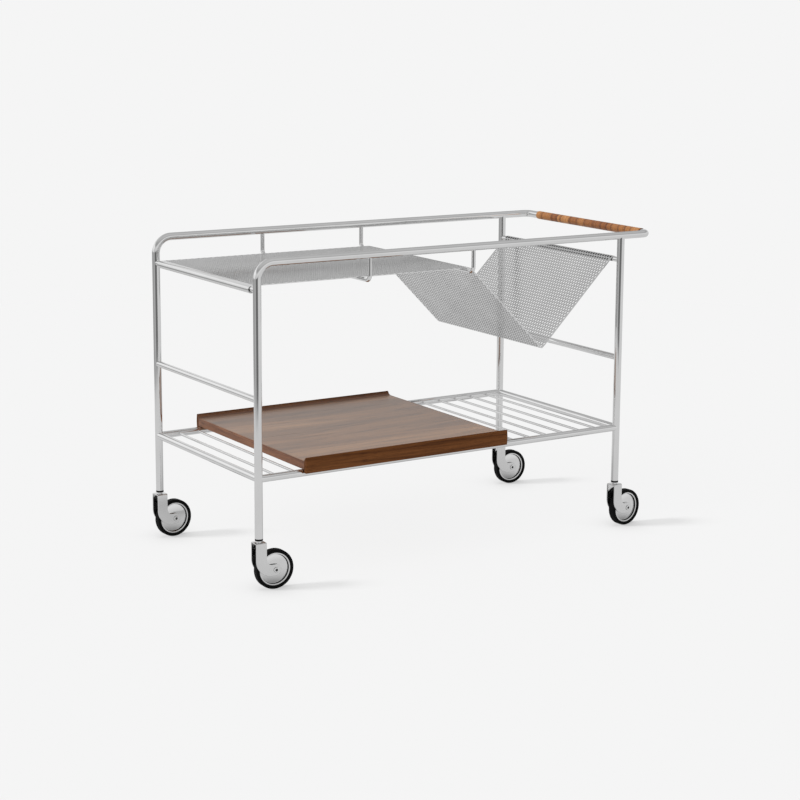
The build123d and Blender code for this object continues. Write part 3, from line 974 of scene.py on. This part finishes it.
def floor_finish():
    """A pale floor that shows the background's tone and keeps the cart's shadow: partly cast by the suns,
    partly painted shade from occlusion.

    It fades out of reflections far away.
    """
    made = bpy.data.materials.new("studio_floor")
    made.use_nodes = True
    tree = made.node_tree
    tree.nodes.remove(tree.nodes["Principled BSDF"])
    path = add(tree, "ShaderNodeLightPath").outputs
    place = add(tree, "ShaderNodeTexCoord").outputs["Object"]
    distance = add(tree, "ShaderNodeVectorMath", {0: place}, operation="LENGTH").outputs["Value"]
    open_sky = add(tree, "ShaderNodeAmbientOcclusion", {"Distance": shade_reach, "Normal": shade_lean},
                   samples=16).outputs["AO"]

    # Painted shade from occlusion darkens the floor's own glow; its diffuse share catches the suns' real
    # shadows
    shadow = spread(tree, open_sky, 0.74, 1.0, 0.50, 0.92)
    lit = floor_caught*(fill_light - (key_light*key_heading.z + low_light*low_heading.z)/pi)
    own_tone = ramp(tree, shadow, (0.0, 0.0), (1.0, background - lit))
    glow = add(tree, "ShaderNodeEmission", {"Color": own_tone})
    shade = add(tree, "ShaderNodeBsdfDiffuse", {"Color": grey(floor_caught)})
    direct = add(tree, "ShaderNodeAddShader", {0: glow.outputs[0], 1: shade.outputs[0]})

    # Painted shade in reflections: darker under the cart's footprint and near the castors
    footprint = add(tree, "ShaderNodeMapping", {"Vector": place, "Scale": footprint_scale}).outputs[0]
    cart_shade = add(tree, "ShaderNodeVectorMath", {0: footprint}, operation="LENGTH").outputs["Value"]
    cart_shade = spread(tree, cart_shade, under_tone, open_tone, 0.3, 1.1, "SMOOTHSTEP")
    contact = spread(tree, open_sky, 0.4, 1.0, 0.6, 1.0)
    mirrored = add(tree, "ShaderNodeEmission", {"Color": calc(tree, "MULTIPLY", cart_shade, contact)})
    nothing = add(tree, "ShaderNodeBsdfTransparent")
    pool = spread(tree, distance, 0.0, 1.0, pool_start, pool_stop, "SMOOTHSTEP")
    glossy = blended(tree, pool, mirrored, nothing)

    # For other rays the floor glows, with painted shade from occlusion
    bounce = add(tree, "ShaderNodeEmission", {"Color": ramp(tree, open_sky, (0.3, 0.3), (1.0, 0.68))})
    unseen = blended(tree, off_surface(tree, path), bounce, glossy)
    final = blended(tree, path["Is Camera Ray"], unseen, direct)
    tree.links.new(final.outputs[0], tree.nodes["Material Output"].inputs["Surface"])
    return made


def studio_world():
    """Even light on the object.

    Reflections show pale walls, brighter towards the window light, and a dark far floor.
    """
    world = bpy.data.worlds.new("studio")
    world.use_nodes = True
    tree = world.node_tree
    path = add(tree, "ShaderNodeLightPath").outputs
    ray = add(tree, "ShaderNodeTexCoord").outputs["Generated"]
    height = add(tree, "ShaderNodeSeparateXYZ", {0: ray}).outputs["Z"]

    def facing(direction):
        """How squarely a ray runs in a direction, from -1 to 1."""
        dot = add(tree, "ShaderNodeVectorMath", {0: ray, 1: direction}, operation="DOT_PRODUCT")
        return dot.outputs["Value"]

    lit_side = facing(toward_light)
    dip = calc(tree, "MULTIPLY", calc(tree, "MINIMUM", lit_side, 0.0), window_dip)
    window = calc(tree, "ADD", height, dip)
    wall = ramp(tree, window, (0.0, 0.76), (0.12, 0.86), (0.26, 0.92), (0.44, 0.50), (0.56, 0.50),
                (0.76, 0.68), (1.0, 0.70))
    around = spread(tree, lit_side, 0.0, 1.0, -1.0, 1.0)
    side_tone = ramp(tree, around, (0.0, 1.1), (0.14, 1.08), (0.32, 0.72), (0.52, 0.74), (1.0, 0.9))
    above = mixed(tree, 1.0, wall, side_tone, "MULTIPLY")
    far_floor = ramp(tree, spread(tree, lit_side, 0.36, 0.68, -0.9, 0.5), (0.0, 0.0), (1.0, 1.0))
    camera_side = spread(tree, facing(toward_camera), 0.0, 1.0, 0.78, 0.92, "SMOOTHSTEP")
    below = mixed(tree, camera_side, far_floor, grey(camera_tone))
    horizon = spread(tree, height, 0.0, 1.0, -0.05, 0.04, "SMOOTHSTEP")
    room = mixed(tree, horizon, below, above)
    fill = mixed(tree, off_surface(tree, path), grey(fill_light), room)
    colour = mixed(tree, path["Is Camera Ray"], fill, grey(background))
    tree.links.new(colour, tree.nodes["Background"].inputs["Color"])
    bpy.context.scene.world = world


def sun(name, energy, softness, heading):
    """A soft sun that shines along a heading and isn't mirrored. Its softness is in degrees."""
    lamp = bpy.data.lights.new(name, "SUN")
    lamp.energy, lamp.angle = energy, radians(softness)
    made = bpy.data.objects.new(name, lamp)
    made.rotation_euler = heading.to_track_quat("-Z", "Y").to_euler()
    made.visible_glossy = False
    bpy.context.scene.collection.objects.link(made)
    return made


def group(name, members):
    """A collection of objects for light linking."""
    made = bpy.data.collections.new(name)
    for member in members:
        made.objects.link(member)
    return made


def studio():
    """The floor, the world and two suns.

    The low sun lights the floor alone, with the castors' shadows on it.
    """
    floor = bpy.data.meshes.new("floor")
    angles = [2*pi*i/floor_sides for i in range(floor_sides)]
    edge = [(floor_radius*cos(angle), floor_radius*sin(angle), 0) for angle in angles]
    floor.from_pydata(edge, [], [range(floor_sides)])
    floor.materials.append(floor_finish())
    ground = bpy.data.objects.new("floor", floor)
    bpy.context.scene.collection.objects.link(ground)
    ground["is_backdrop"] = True
    studio_world()
    sun("key", key_light, key_softness, key_heading)
    low = sun("low", low_light, low_softness, low_heading)
    low.light_linking.receiver_collection = group("lit_by_low", [ground])
    low.light_linking.blocker_collection = group("shading_low", castor_pieces)


def photograph_camera():
    """The camera that was solved from the photograph."""
    lens = bpy.data.cameras.new("camera")
    lens.lens, lens.sensor_width = lens_length, sensor_width
    lens.shift_x, lens.shift_y = lens_shift
    camera = bpy.data.objects.new("camera", lens)
    turned = Matrix((camera_right, camera_up, camera_back)).transposed().to_4x4()
    camera.matrix_world = Matrix.Translation(camera_place) @ turned
    bpy.context.scene.collection.objects.link(camera)
    bpy.context.scene.camera = camera


studio()
photograph_camera()
bpy.context.scene.view_settings.view_transform = "Standard"

boxes = {"cad": cad_box, "visual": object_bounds()}
{name: [list(corner) for corner in box] for name, box in boxes.items()}
